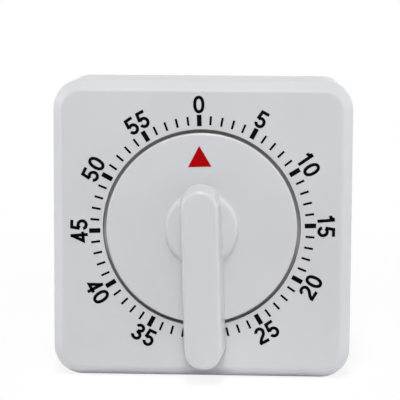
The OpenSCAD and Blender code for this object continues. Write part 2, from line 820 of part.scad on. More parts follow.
escape_tooth_h = 1.6;
module escape_wheel() {
    root_r = escape_r - escape_tooth_h;
    tooth = [[0, 0], [0.3, escape_tooth_h], [0.4, escape_tooth_h], [0.6, 0]];
    color("ivory") translate(escape_at) layer(second_z, wheel_t) difference() {
        polygon([for (i = [0:escape_teeth - 1], p = tooth)
            polar(root_r + p.y, (i + p.x) * 360 / escape_teeth)]);
        crossings(arbor_r + hub_wall, root_r - escape_rim_w, 4, escape_rim_w);
        circle(arbor_r + seat_fit);
    }
}

pallet_pin_r = pin_dia / 2;
pallet_pins_at = [for (side = [-1, 1]) escape_at
    + polar(escape_r + pallet_pin_r + pin_gap,
            heading(escape_at, pallet_at) + side * pallet_half_angle)];

module pallet_arbor() {
    color("silver") translate(pallet_at) pivoted_arbor();
}

module pallet_fork() {
    color("goldenrod") layer(fork_z, wheel_t) difference() {
        union() {
            translate(pallet_at) circle(arbor_r + hub_wall);
            for (p = pallet_pins_at) {
                bar(pallet_at, p, fork_w);
                translate(p) circle(pallet_pin_r + fork_w / 2);
            }
        }
        translate(pallet_at) circle(arbor_r + seat_fit);
        for (p = pallet_pins_at) translate(p) circle(pallet_pin_r + seat_fit);
    }
}

module pallet_pins() {
    color("silver") for (p = pallet_pins_at)
        translate(p) rod(fork_z, second_z - wheel_t - end_play, pallet_pin_r);
}

module inertia_wheel() {
    inertia_r = inertia_dia / 2;
    color("goldenrod") translate(pallet_at) layer(inertia_z, inertia_t) difference() {
        circle(inertia_r);
        crossings(arbor_r + hub_wall, inertia_r - inertia_rim_w, 2, inertia_rim_w);
        circle(arbor_r + seat_fit);
    }
}

// Mainspring

module mainspring_stud() {
    color("silver") translate(mainspring_stud_at) rod(spring_z + layer_gap / 2, back_z, stud_r);
}

module mainspring() {
    steps = 24;
    first_r = core_dia / 2 + spring_t / 2 + run_fit;
    last_r = spring_r - spring_t / 2;
    count = spring_turns * steps;
    function coil(i, side) =
        polar(first_r + (last_r - first_r) * i / count + side * spring_t / 2,
              -20 + 360 * i / steps);
    color("steelblue") layer(spring_z, spring_w) {
        polygon(concat([for (i = [0:count]) coil(i, 1)], [for (i = [count:-1:0]) coil(i, -1)]));
        translate(mainspring_stud_at) difference() {
            circle(stud_r + eye_t);
            circle(stud_r + run_fit);
        }
    }
}

// Click

module click() {
    color("silver") rotate(click_turn) layer(click_z, click_t) difference() {
        union() {
            polygon([nose_in, nose_out, click_back, click_front]);
            translate(click_at) circle(click_hub_r);
        }
        translate(click_at) circle(click_pin_r + run_fit);
    }
}

module click_stud() {
    head_z = click_z - click_t - run_fit;
    color("gainsboro") rotate(click_turn) translate(click_at) {
        rod(great_z, head_z, click_pin_r);
        rod(head_z, head_z - 0.2, click_hub_r - 0.3);
    }
}

module click_spring() {
    leaf_h = click_t - 0.2;
    press_at = nose_out + 0.3 * (click_back - nose_out) + polar(0.25, click_heading - 90);
    color("steelblue") rotate(click_turn) {
        translate(click_rivet_at) rod(great_z, click_z - leaf_h, click_pin_r);
        layer(click_z, leaf_h) bar(click_rivet_at, press_at, 0.2);
    }
}

// Strike

module hammer_arbor() {
    color("silver") translate(hammer_at) rotate_extrude() polygon([
        [0, front_z], [pivot_r, front_z], [pivot_r, inner_front_z - end_play],
        [arbor_r, inner_front_z - end_play], [arbor_r, hammer_z - cam_t - layer_gap],
        [0, hammer_z - cam_t - layer_gap]]);
}

module hammer_tail() {
    tip_r = 0.6 * lever_w;
    tip = polar(cam_r + lever_gap + tip_r, 90);
    color("silver") layer(cam_z, cam_t) difference() {
        union() {
            translate(hammer_at) circle(lever_hub_r);
            bar(hammer_at, tip, lever_w);
            translate(tip) circle(tip_r);
        }
        translate(hammer_at) circle(arbor_r + seat_fit);
    }
}

module hammer_arm() {
    color("silver") layer(hammer_z, cam_t) difference() {
        union() {
            translate(hammer_at) circle(lever_hub_r);
            bar(hammer_at, head_at, lever_w);
            translate(head_at) circle(hammer_r - 0.3);
        }
        translate(hammer_at) circle(arbor_r + seat_fit);
        translate(head_at) circle(stud_r + seat_fit);
    }
}

module hammer_head() {
    color("goldenrod") translate(head_at) {
        rod(hammer_z, hammer_z - cam_t, stud_r);
        rod(hammer_z - cam_t, crown_z + bell_t + 2 * layer_gap, hammer_r);
    }
}

module hammer_spring_stud() {
    color("silver") translate(hammer_stud_at) rod(inner_back_z, hammer_z - cam_t, stud_r);
}

module hammer_spring() {
    leaf_start = hammer_stud_at - (stud_r + eye_t - leaf_t / 2) * arm_side;
    color("steelblue") layer(hammer_z, cam_t) {
        bar(leaf_start, arm_press_at, leaf_t);
        translate(hammer_stud_at) difference() {
            circle(stud_r + eye_t);
            circle(stud_r + seat_fit);
        }
    }
}

module bell() {
    bell_r = bell_dia / 2;
    inner_round = 1.2;
    hole_r = screw_r + run_fit;
    inner_z = crown_z + bell_t;
    color("gainsboro") translate(bell_at) rotate_extrude($fn = 96) polygon(concat(
        [[bell_r, mouth_z]],
        fillet([bell_r, mouth_z], [bell_r, crown_z], [0, crown_z], inner_round + bell_t),
        [[hole_r, crown_z], [hole_r, inner_z]],
        fillet([0, inner_z], [bell_in_r, inner_z], [bell_in_r, mouth_z], inner_round),
        [[bell_in_r, mouth_z]]));
}

module bell_post() {
    bore_d = bell_screw_grip + bore_spare;
    color("silver") translate(bell_at) difference() {
        union() {
            rod(back_z, crown_z + bell_t, screw_head_r);
            rod(inner_back_z, back_z - 1, tenon_r);
        }
        rod(crown_z + bell_t + bore_d, crown_z, screw_r + seat_fit);
    }
}

module bell_screw() {
    color("gainsboro") translate(bell_at)
        screw(crown_z, crown_z + bell_t + bell_screw_grip, bell_screw_head_h);
}

stand_up() {
    front_housing();
    rear_cover();
    cover_screws();
    wall_magnet();
    dial_knob();
    front_plate();
    back_plate();
    plate_pillars();
    pillar_screws();
    movement_screws();
    arbor_bushes();
    main_arbor();
    strike_cam();
    ratchet_wheel();
    great_wheel();
    click();
    click_stud();
    click_spring();
    mainspring();
    mainspring_stud();
    second_arbor();
    second_wheel();
    third_arbor();
    third_wheel();
    escape_arbor();
    escape_wheel();
    pallet_arbor();
    pallet_fork();
    pallet_pins();
    inertia_wheel();
    hammer_arbor();
    hammer_tail();
    hammer_arm();
    hammer_head();
    hammer_spring();
    hammer_spring_stud();
    bell();
    bell_post();
    bell_screw();
}
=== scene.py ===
"""Dresses a wind-up kitchen timer: printed scale, moulded plastics and clockwork metals."""

import math

import bmesh
import bpy
from bpy.props import FloatProperty, FloatVectorProperty, IntProperty, PointerProperty
from mathutils import Matrix, Vector


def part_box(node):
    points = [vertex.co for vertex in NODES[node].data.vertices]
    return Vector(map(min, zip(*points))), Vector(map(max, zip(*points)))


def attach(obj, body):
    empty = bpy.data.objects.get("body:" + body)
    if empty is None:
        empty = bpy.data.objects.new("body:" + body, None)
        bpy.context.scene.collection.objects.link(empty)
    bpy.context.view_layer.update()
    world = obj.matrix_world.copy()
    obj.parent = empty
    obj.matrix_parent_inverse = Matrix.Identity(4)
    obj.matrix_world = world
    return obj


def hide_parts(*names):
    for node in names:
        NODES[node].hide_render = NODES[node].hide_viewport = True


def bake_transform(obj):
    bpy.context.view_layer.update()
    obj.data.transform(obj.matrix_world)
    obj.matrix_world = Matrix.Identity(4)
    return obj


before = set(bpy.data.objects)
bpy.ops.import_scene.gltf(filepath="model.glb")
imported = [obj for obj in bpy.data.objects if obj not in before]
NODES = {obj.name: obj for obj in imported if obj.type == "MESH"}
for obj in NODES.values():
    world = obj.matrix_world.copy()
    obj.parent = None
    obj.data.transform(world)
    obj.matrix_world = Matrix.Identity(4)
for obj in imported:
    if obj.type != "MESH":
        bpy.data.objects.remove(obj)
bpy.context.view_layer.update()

bl_info = {
    "name": "Kitchen timer",
    "version": (1, 0, 0),
    "blender": (4, 5, 0),
    "location": "3D View > Sidebar > Timer",
    "description": "Printed scale, plastics, metals and studio for a wind-up kitchen timer",
    "category": "Object",
}

MM = 0.001

ARBOR_LOW, ARBOR_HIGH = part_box("main_arbor")
DIAL_X = (ARBOR_LOW.x + ARBOR_HIGH.x) / 2
DIAL_Z = (ARBOR_LOW.z + ARBOR_HIGH.z) / 2
FACE_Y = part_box("front_housing")[0].y

# Patterns in the finishes, in waves to the metre.
CLOUD = 45
GLOSS_PATCHES = 260
INK_FILM = 1800
GRAIN_ALONG, GRAIN_ACROSS = 400, 9000
ROLLED_STAIN, TURNED_STAIN = 160, 220
FERRITE_PITS = 3500
GRINDING_LINES = (250, 4000, 4000)

# Painted shade in the dial's well, for the shadow deep in the gap round the dial: the depths
# where it begins and where it is darkest, the ring in which it ends, and how much less of it
# is painted at the left and the right, where the side lamps light the well's walls.
WELL_PAINTED_SHADE_DEPTHS = (FACE_Y + 0.3 * MM, FACE_Y + 1.6 * MM)
WELL_PAINTED_SHADE_EDGE = (23.3 * MM, 23.6 * MM)
WELL_PAINTED_SHADE_LESS_AT_SIDES = 0.55

# Radii of what is turned in fours.
SCREW_HEAD = 2.1 * MM
PILLAR = 2.0 * MM

# A leaf spring is cut across into slices so that it can bend between two shares of its length.
SLICES = 20
SAME_CORNER = 0.0001 * MM

# Every fifth minute has a bold mark and a numeral. A numeral is drawn in a box one unit high.
BOLD_EVERY = 5
NUMERAL_MIDDLE = Vector((0.32, 0, 0.5))
SAME_POINT = 1e-6
SHARPEST_MITRE = 0.35

# The floor is all white far off, and shows its shadow beside the timer.
FLOOR_RADIUS = 4.0
NEAR_WHITE = 0.84
WHITENING = (0.03, 0.30)

# Name, place, width and height in metres, and power in watts. Each lamp faces the dial.
LAMPS = (
    ("top_light", (0.0, -0.5, 1.2), 0.25, 1.0, 13.5),
    ("left_light", (-1.0, 0.05, 0.15), 0.9, 0.9, 7.5),
    ("right_light", (1.0, 0.05, 0.15), 0.9, 0.9, 5.5),
    ("right_front_light", (1.0, -0.35, 0.15), 0.9, 0.9, 2.5),
    ("front_light", (0.05, -1.3, 0.35), 0.2, 0.6, 2.5),
    ("back_light", (0.0, 1.2, 0.07), 1.8, 0.12, 7.2),
)

# Width of the camera's sensor in millimetres, and how near it sees in metres.
SENSOR_WIDTH = 36.0
NEAREST_SEEN = 0.01


def length(name, description, default):
    return FloatProperty(
        name=name, description=description, default=default, min=0, unit="LENGTH",
        precision=5)


def aim(name, description, default):
    return FloatProperty(
        name=name, description=description, default=default, unit="LENGTH")


def angle(name, description, degrees):
    return FloatProperty(
        name=name, description=description, default=math.radians(degrees),
        subtype="ANGLE")


def colour(name, description, default):
    return FloatVectorProperty(
        name=name, description=description, default=default, size=3,
        min=0, max=1, subtype="COLOR")


class TimerPrint(bpy.types.PropertyGroup):
    """Sizes of what is printed on the case and on the dial"""

    turn: angle("Turn", "Turn of the printed scale against the case", 1.9)
    shift: length("Shift", "Shift of the scale to the right of the dial's axis", 0.15 * MM)
    marks: IntProperty(
        name="Marks", description="Minute marks round the dial", default=60, min=12, max=60)
    mark_reach: length("Mark reach", "Distance of the marks' middles from the axis", 25.2 * MM)
    mark_length: length("Mark length", "Length of a one-minute mark", 2.1 * MM)
    mark_width: length("Mark width", "Width of a one-minute mark", 0.51 * MM)
    bold_length: length("Bold length", "Length of a five-minute mark", 2.65 * MM)
    bold_width: length("Bold width", "Width of a five-minute mark", 1.1 * MM)
    numeral_reach: length("Numeral reach", "Distance of the numerals from the axis", 28.9 * MM)
    numeral_height: length("Numeral height", "Height of a numeral", 4.1 * MM)
    numeral_stroke: length("Numeral stroke", "Width of a numeral's strokes", 0.74 * MM)
    numeral_step: angle("Numeral step", "Turn from one numeral of a pair to the other", 5.9)
    pointer_width: length("Pointer width", "Width of the red pointer", 5.5 * MM)
    pointer_height: length("Pointer height", "Height of the red pointer", 4.95 * MM)
    pointer_reach: length(
        "Pointer reach", "Distance of the pointer's tip from the axis", 19.4 * MM)
    ink: length("Ink", "Thickness of the ink", 0.02 * MM)


class TimerColours(bpy.types.PropertyGroup):
    """Colours of the timer's plastics, inks and metals"""

    case: colour("Case", "Moulded case", (0.579, 0.588, 0.610))
    knob: colour("Dial", "Moulded dial and handle", (0.576, 0.591, 0.612))
    # The well's colour is painted shade for the shadow deep in the gap round the dial.
    shade: colour("Well", "Dust and shade deep in the dial's well", (0.36, 0.305, 0.285))
    black: colour("Black ink", "Ink of the scale", (0.0015, 0.002, 0.0025))
    red: colour("Red ink", "Ink of the pointer", (0.38, 0.001, 0.0024))
    steel: colour("Steel", "Plain steel", (0.56, 0.57, 0.58))
    zinc: colour("Zinc", "Plated screws and bell", (0.60, 0.61, 0.63))
    blued: colour("Blued steel", "Springs", (0.09, 0.12, 0.20))
    brass: colour("Brass", "Brass wheels and bushes", (0.72, 0.50, 0.19))
    acetal: colour("Acetal", "Moulded wheels", (0.80, 0.77, 0.66))
    ferrite: colour("Ferrite", "Magnet", (0.035, 0.034, 0.036))
    floor: colour("Floor", "Studio floor", (0.95, 0.95, 0.95))


class TimerView(bpy.types.PropertyGroup):
    """Place of the camera"""

    azimuth: angle("Azimuth", "Turn of the camera to the right of the dial", 2.47)
    elevation: angle("Elevation", "Rise of the camera above the dial", 7.0)
    roll: angle("Roll", "Turn of the camera about its own line of sight", 0.32)
    distance: length("Distance", "Distance from the dial", 0.4)
    aim_x: aim("Aim X", "Aim to the left of the dial", 0.41 * MM)
    aim_z: aim("Aim Z", "Aim above the dial", 6.59 * MM)
    lens: FloatProperty(
        name="Lens", description="Focal length in millimetres", default=154.3, min=10)


class Value:
    """A socket that works in a Python expression; each sign adds a Math node"""

    def __init__(self, nodes, socket):
        self.nodes, self.socket = nodes, socket

    def maths(self, operation, *values):
        return self.nodes.value(
            "ShaderNodeMath", {"operation": operation}, dict(enumerate(values)))

    def __add__(self, other):
        return self.maths("ADD", self, other)

    def __mul__(self, other):
        return self.maths("MULTIPLY", self, other)

    def __sub__(self, other):
        return self.maths("SUBTRACT", self, other)

    def __rsub__(self, other):
        return self.maths("SUBTRACT", other, self)

    def __truediv__(self, other):
        return self.maths("DIVIDE", self, other)

    def __pow__(self, other):
        return self.maths("POWER", self, other)

    def __abs__(self):
        return self.maths("ABSOLUTE", self)

    def most(self, other):
        return self.maths("MAXIMUM", self, other)

    def rise(self, low, high):
        """0 at low, 1 at high, and smooth between them."""
        return self.nodes.value(
            "ShaderNodeMapRange", {"interpolation_type": "SMOOTHSTEP"},
            {"Value": self, "From Min": low, "From Max": high})

    def about(self, middle, swing):
        """A pattern that runs from 0 to 1, brought to a swing about a middle value."""
        return self * swing + (middle - swing / 2)

    __radd__ = __add__
    __rmul__ = __mul__


class Nodes:
    """A tree of nodes under construction"""

    def __init__(self, tree):
        self.tree = tree
        tree.nodes.clear()

    def add(self, kind, settings=None, sockets=None):
        """Adds a node: first its settings, then the values or links of its sockets."""
        node = self.tree.nodes.new(kind)
        for key, setting in (settings or {}).items():
            setattr(node, key, setting)
        for key, given in (sockets or {}).items():
            socket = node.inputs[key] if isinstance(key, int) else next(
                s for s in node.inputs if key in (s.identifier, s.name))
            if isinstance(given, Value):
                given = given.socket
            if isinstance(given, bpy.types.NodeSocket):
                self.tree.links.new(given, socket)
            elif socket.type == "RGBA" and len(given) == 3:
                socket.default_value = (*given, 1)
            else:
                socket.default_value = given
        return node

    def out(self, kind, settings=None, sockets=None):
        """Adds a node and gives its first output."""
        return self.add(kind, settings, sockets).outputs[0]

    def value(self, kind, settings=None, sockets=None):
        return Value(self, self.out(kind, settings, sockets))

    def looked_at(self):
        """1 for what the camera sees, straight or in gloss or glass, and 0 for other light."""
        rays = self.add("ShaderNodeLightPath").outputs
        straight, gloss, glass = (Value(self, rays[f"Is {kind} Ray"])
                                  for kind in ("Camera", "Glossy", "Transmission"))
        return straight.most(gloss).most(glass)


class Finish(Nodes):
    """The nodes of a material"""

    def __init__(self, name):
        self.material = bpy.data.materials.new(name)
        self.material.use_nodes = True
        super().__init__(self.material.node_tree)

    def place(self):
        """The point's place on the timer, and its x, y and z as values."""
        spot = self.add("ShaderNodeTexCoord").outputs["Object"]
        split = self.add("ShaderNodeSeparateXYZ", {}, {0: spot})
        return (spot, *(Value(self, o) for o in split.outputs))

    def stretched(self, spot, scale):
        return self.out("ShaderNodeMapping", {}, {"Vector": spot, "Scale": scale})

    def noise(self, spot, waves, detail=3.0, roughness=0.5):
        return self.value(
            "ShaderNodeTexNoise", {"noise_dimensions": "3D"},
            {"Vector": spot, "Scale": waves, "Detail": detail, "Roughness": roughness})

    def rings(self, radius, per_mm):
        """Fine marks round an axis, as a lathe or a polishing wheel leaves them."""
        return self.value(
            "ShaderNodeTexNoise", {"noise_dimensions": "1D"},
            {"W": radius * (per_mm / MM), "Scale": 1.0, "Detail": 4.0})

    def mix(self, share, first, second):
        node = self.add("ShaderNodeMix", {"data_type": "RGBA"},
                        {"Factor_Float": share, "A_Color": first, "B_Color": second})
        return next(s for s in node.outputs if s.identifier == "Result_Color")

    def bump(self, height, depth):
        return self.out("ShaderNodeBump", {},
                        {"Strength": 1.0, "Distance": depth, "Height": height})

    def end(self, shader):
        self.add("ShaderNodeOutputMaterial", {}, {"Surface": shader})
        return self.material

    def close(self, **sockets):
        """Ends the material in one Principled shader."""
        named = {key.replace("_", " "): given for key, given in sockets.items()}
        return self.end(self.out("ShaderNodeBsdfPrincipled", {}, named))

    def close_metal(self, spot, shade, stain, stained, marks, roughness, swing, depth):
        """Ends a bare metal: it is stained in patches, and its tool marks make its gloss."""
        patches = self.noise(spot, stain, detail=4.0, roughness=0.6).rise(0.3, 0.75)
        return self.close(
            Base_Color=self.mix(patches, shade, tinted(shade, stained)), Metallic=1.0,
            Roughness=marks.about(roughness, swing), Normal=self.bump(marks, depth))


def tinted(shade, share, lift=0.0):
    """A shade made lighter or darker by a share, and lifted by a little grey."""
    return tuple(c * share + lift for c in shade)


def moulded(name, shade, roughness, grain, depth, well=None):
    """Moulded plastic: a spark-eroded grain, a faint cloud in the tone and uneven gloss.

    grain is the width of a grain and depth its height. well is the colour of a painted shade
    for the shadow deep in the dial's well, on the moulding that has one."""
    f = Finish(name)
    spot, x, y, z = f.place()
    cloud = f.noise(spot, CLOUD, detail=2.0).rise(0.35, 0.65)
    tone = f.mix(cloud, tinted(shade, 0.985), tinted(shade, 1.015))
    # Painted shade: the deep gap round the dial is darkened where its shadow falls, and less
    # at the left and the right, where the side lamps reach its walls.
    if well is not None:
        across = x - DIAL_X
        reach = (across ** 2.0 + (z - DIAL_Z) ** 2.0) ** 0.5
        deep = y.rise(*WELL_PAINTED_SHADE_DEPTHS)
        inside = 1.0 - reach.rise(*WELL_PAINTED_SHADE_EDGE)
        painted_shade_share = 1.0 - (across / reach) ** 2.0 * WELL_PAINTED_SHADE_LESS_AT_SIDES
        tone = f.mix(deep * inside * painted_shade_share, tone, well)
    grains = f.noise(spot, 1 / grain, detail=2.0, roughness=0.6)
    gloss = f.noise(spot, GLOSS_PATCHES).about(roughness, 0.10)
    return f.close(Base_Color=tone, Roughness=gloss, IOR=1.5, Normal=f.bump(grains, depth))


def printed(name, shade):
    """Pad-printed ink: a thin film that is a little uneven."""
    f = Finish(name)
    spot, *_ = f.place()
    film = f.noise(spot, INK_FILM)
    tone = f.mix(film.rise(0.3, 0.8), shade, tinted(shade, 1.1, lift=0.0005))
    return f.close(Base_Color=tone, Roughness=film.about(0.38, 0.12),
                   Specular_IOR_Level=0.02, Normal=f.bump(film, 0.002 * MM))


def brushed(name, shade, roughness, along):
    """Rolled or drawn metal with its grain along one axis."""
    f = Finish(name)
    spot, *_ = f.place()
    waves = [GRAIN_ALONG if axis == along else GRAIN_ACROSS for axis in "xyz"]
    grain = f.noise(f.stretched(spot, waves), 1.0, detail=4.0, roughness=0.6)
    return f.close_metal(spot, shade, stain=ROLLED_STAIN, stained=0.86, marks=grain,
                         roughness=roughness, swing=0.16, depth=0.003 * MM)


def turned(node, shade, roughness, marks_per_mm=14.0, four=None):
    """Turned metal with marks round its axis.

    four is the radius of each of four alike that stand in the corners of the node's box."""
    f = Finish(node + "_metal")
    spot, x, _, z = f.place()
    low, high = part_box(node)
    middle = (low + high) / 2
    across, up = x - middle.x, z - middle.z
    if four is not None:
        reach = high - middle
        across, up = abs(across) - (reach.x - four), abs(up) - (reach.z - four)
    marks = f.rings((across ** 2.0 + up ** 2.0) ** 0.5, marks_per_mm)
    return f.close_metal(spot, shade, stain=TURNED_STAIN, stained=0.88, marks=marks,
                         roughness=roughness, swing=0.18, depth=0.004 * MM)


def sintered(name, shade):
    """Ground ferrite: dark grey with fine pits and lighter grinding lines."""
    f = Finish(name)
    spot, *_ = f.place()
    pits = f.noise(spot, FERRITE_PITS, detail=4.0, roughness=0.7)
    lines = f.noise(f.stretched(spot, GRINDING_LINES), 1.0)
    tone = f.mix(lines.rise(0.35, 0.7), shade, tinted(shade, 1.9, lift=0.01))
    return f.close(Base_Color=tone, Roughness=pits.about(0.545, 0.25),
                   Normal=f.bump(pits + lines * 0.6, 0.012 * MM))


def dress(material, *nodes):
    """Gives nodes of the frame one material."""
    for node in nodes:
        NODES[node].data.materials.clear()
        NODES[node].data.materials.append(material)


def add_piece(name, mesh, material):
    """Makes a piece from a bmesh, and frees the bmesh."""
    data = bpy.data.meshes.new(name)
    mesh.to_mesh(data)
    mesh.free()
    data.materials.append(material)
    piece = bpy.data.objects.new(name, data)
    bpy.context.scene.collection.objects.link(piece)
    return piece


def front_y(node, x, z):
    """Depth at which a line from the front meets a node."""
    hit, spot, _, _ = NODES[node].ray_cast(Vector((x, -1, z)), Vector((0, 1, 0)))
    if not hit:
        raise RuntimeError(f"nothing of {node} lies behind x {x}, z {z}")
    return spot.y


def on_face(turn, reach, facing, y, shift=0):
    """Where a flat print lies: it is drawn upright in x and z, and then turned and placed.

    turn is clockwise from the top, and facing is the print's own turn."""
    x = DIAL_X + shift + reach * math.sin(turn)
    z = DIAL_Z + reach * math.cos(turn)
    return Matrix.Translation((x, y, z)) @ Matrix.Rotation(facing, 4, "Y")


def arc(cx, cy, rx, ry, start, end, power=1.0, steps=18):
    """Points of an arc between two angles in degrees; a power under 1 squares it off."""
    points = []
    for i in range(steps + 1):
        a = math.radians(start + (end - start) * i / steps)
        c, s = math.cos(a), math.sin(a)
        points.append((cx + rx * math.copysign(abs(c) ** power, c),
                       cy + ry * math.copysign(abs(s) ** power, s)))
    return points


def curve(p, q, r, s, steps=10):
    """Points of a cubic curve after its first one."""
    points = []
    for i in range(1, steps + 1):
        t = i / steps
        weights = ((1 - t) ** 3, 3 * t * (1 - t) ** 2, 3 * t * t * (1 - t), t ** 3)
        points.append(tuple(sum(w * v[k] for w, v in zip(weights, (p, q, r, s)))
                            for k in (0, 1)))
    return points


def strokes_of(numeral, h):
    """Pen strokes of a numeral, each as the points of its middle line; they are 2 h wide."""
    top, base = 1 - h, h
    if numeral == "0":
        return [arc(0.32, 0.5, 0.32 - h, 0.5 - h, 0, 360, power=0.9, steps=48)]
    if numeral == "1":
        tip = (0.13, 0.765)
        flag = curve(tip, (0.27, 0.765), (0.345, 0.83), (0.36, 0.985))
        return [[(0.40, 0), (0.40, 1)], [tip, *flag]]
    if numeral == "2":
        bowl = arc(0.32, 0.70, 0.32 - h - 0.02, 0.30 - h, 172, -28)
        neck = curve(bowl[-1], (0.48, 0.42), (0.16, 0.34), (0.115, base))
        return [bowl + neck, [(0.03, base), (0.62, base)]]
    if numeral == "3":
        waist = (0.24, 0.545)
        return [[*arc(0.31, 0.735, 0.285 - h, 0.265 - h, 172, -88), waist],
                [waist, *arc(0.31, 0.28, 0.31 - h, 0.28 - h, 88, -172)]]
    if numeral == "4":
        return [[(0.63, 0.285), (0.095, 0.285), (0.44, 0.90)], [(0.44, 0), (0.44, 1)]]
    if numeral == "5":
        return [[(0.585, top), (0.165, top), (0.105, 0.45)],
                arc(0.315, 0.315, 0.315 - h, 0.325 - h, 146, -166, steps=26)]
    raise ValueError(f"no strokes are drawn for {numeral}")


def ribbon(points, h):
    """The two sides of a stroke, with mitred corners, and whether it closes on itself."""
    closed = math.dist(points[0], points[-1]) < SAME_POINT
    line = [Vector(p) for p in (points[:-1] if closed else points)]
    left, right = [], []
    for i, here in enumerate(line):
        before = line[i - 1] if closed or i else None
        after = line[(i + 1) % len(line)] if closed or i < len(line) - 1 else None
        ways = [(b - a).normalized() for a, b in ((before, here), (here, after)) if a and b]
        way = sum(ways, Vector((0, 0))).normalized()
        side = Vector((-way.y, way.x)) * h / max(SHARPEST_MITRE, way.dot(ways[0]))
        left.append(here + side)
        right.append(here - side)
    return left, right, closed


def draw_stroke(mesh, points, h, place, ink):
    """Adds one stroke to a bmesh as a closed film of ink."""
    left, right, closed = ribbon(points, h)
    rows = [[mesh.verts.new(place @ Vector((p.x, y, p.y))) for y in (0, -ink) for p in (a, b)]
            for a, b in zip(left, right)]
    for a, b in zip(rows, rows[1:] + rows[:1] if closed else rows[1:]):
        for i, j in ((0, 1), (1, 3), (3, 2), (2, 0)):
            mesh.faces.new((a[i], a[j], b[j], b[i]))
    if not closed:
        for end in (rows[0], rows[-1]):
            mesh.faces.new((end[0], end[1], end[3], end[2]))


def add_print(name, mesh, material):
    """Makes a printed piece of closed films, with their faces turned outwards."""
    bmesh.ops.recalc_face_normals(mesh, faces=mesh.faces)
    return add_piece(name, mesh, material)


def marks_tree(material):
    """Geometry nodes for marks round a circle on the face, some of them bold."""
    tree = bpy.data.node_groups.new("minute_marks", "GeometryNodeTree")
    n = Nodes(tree)
    tree.interface.new_socket(
        "Geometry", in_out="OUTPUT", socket_type="NodeSocketGeometry")
    tree.interface.new_socket("Marks", in_out="INPUT", socket_type="NodeSocketInt")
    for name in ("Reach", "Length", "Width", "Bold length", "Bold width", "Ink", "Turn"):
        tree.interface.new_socket(name, in_out="INPUT", socket_type="NodeSocketFloat")
    given = n.add("NodeGroupInput").outputs
    circle = n.out("GeometryNodeMeshCircle", {},
                   {"Vertices": given["Marks"], "Radius": given["Reach"]})
    index = n.out("GeometryNodeInputIndex")
    left_over = n.out("ShaderNodeMath", {"operation": "MODULO"},
                      {0: index, 1: float(BOLD_EVERY)})
    bold = n.out("FunctionNodeCompare", {"data_type": "FLOAT", "operation": "LESS_THAN"},
                 {0: left_over, 1: 0.5})
    along, across = (
        n.out("GeometryNodeSwitch", {"input_type": "FLOAT"},
              {0: bold, 1: given[plain], 2: given["Bold " + plain.lower()]})
        for plain in ("Length", "Width"))
    size = n.out("ShaderNodeCombineXYZ", {}, {0: along, 1: across, 2: given["Ink"]})
    place = n.out("GeometryNodeInputPosition")
    outwards = n.out("FunctionNodeAlignRotationToVector", {"axis": "X"}, {"Vector": place})
    bar = n.out("GeometryNodeMeshCube", {}, {"Size": (1, 1, 1)})
    marks = n.out("GeometryNodeInstanceOnPoints", {},
                  {"Points": circle, "Instance": bar, "Rotation": outwards, "Scale": size})
    upright = n.out("ShaderNodeCombineXYZ", {}, {0: math.pi / 2, 1: given["Turn"]})
    placed = n.out("GeometryNodeTransform", {}, {"Geometry": marks, "Rotation": upright})
    real = n.out("GeometryNodeRealizeInstances", {}, {"Geometry": placed})
    inked = n.out("GeometryNodeSetMaterial", {}, {"Geometry": real, "Material": material})
    n.add("NodeGroupOutput", {}, {"Geometry": inked})
    return tree


class TIMER_OT_stage(bpy.types.Operator):
    """Lays the floor, hangs the lights and places the camera"""

    bl_idname = "timer.stage"
    bl_label = "Stage"
    bl_options = {"REGISTER", "UNDO"}

    def execute(self, context):
        context.scene.view_settings.view_transform = "Standard"
        self.lay_floor(context.scene.timer_colours.floor)
        self.light(context.scene)
        self.place_camera(context.scene, context.scene.timer_view)
        return {"FINISHED"}

    def lay_floor(self, shade):
        f = Finish("studio_floor")
        _, x, y, _ = f.place()
        away = (x ** 2.0 + y ** 2.0) ** 0.5
        white = away.rise(*WHITENING) * (1 - NEAR_WHITE) + NEAR_WHITE
        paint = f.out("ShaderNodeBsdfDiffuse", {}, {"Color": shade})
        glow = f.out("ShaderNodeEmission", {}, {"Color": (1, 1, 1), "Strength": 1.0})
        f.end(f.out("ShaderNodeMixShader", {}, {0: f.looked_at() * white, 1: paint, 2: glow}))
        mesh = bmesh.new()
        bmesh.ops.create_circle(mesh, cap_ends=True, segments=64, radius=FLOOR_RADIUS)
        floor = add_piece("studio_floor", mesh, f.material)

    def light(self, scene):
        scene.world = bpy.data.worlds.new("studio")
        scene.world.use_nodes = True
        n = Nodes(scene.world.node_tree)
        sky = n.out("ShaderNodeBackground", {},
                    {"Color": (1, 1, 1), "Strength": n.looked_at()})
        n.add("ShaderNodeOutputWorld", {}, {"Surface": sky})
        for name, place, width, height, power in LAMPS:
            lamp = bpy.data.lights.new(name, "AREA")
            lamp.shape, lamp.size, lamp.size_y, lamp.energy = "RECTANGLE", width, height, power
            holder = bpy.data.objects.new(name, lamp)
            scene.collection.objects.link(holder)
            holder.location = place
            way = Vector((DIAL_X, 0, DIAL_Z)) - Vector(place)
            holder.rotation_euler = way.to_track_quat("-Z", "Y").to_euler()

    def place_camera(self, scene, view):
        a, e, r = view.azimuth, view.elevation, view.roll
        back = Vector((math.sin(a) * math.cos(e), -math.cos(a) * math.cos(e), math.sin(e)))
        right = Vector((math.cos(a), math.sin(a), 0))
        up = back.cross(right)
        spot = (Vector((DIAL_X, FACE_Y, DIAL_Z)) + back * view.distance
                - right * view.aim_x + up * view.aim_z)
        right, up = (right * math.cos(r) + up * math.sin(r),
                     up * math.cos(r) - right * math.sin(r))
        camera = bpy.data.objects.new("camera", bpy.data.cameras.new("camera"))
        scene.collection.objects.link(camera)
        camera.data.lens = view.lens
        camera.data.sensor_width = SENSOR_WIDTH
        camera.data.clip_start = NEAREST_SEEN
        turn = Matrix((right, up, back)).transposed().to_4x4()
        camera.matrix_world = Matrix.Translation(spot) @ turn
        scene.camera = camera


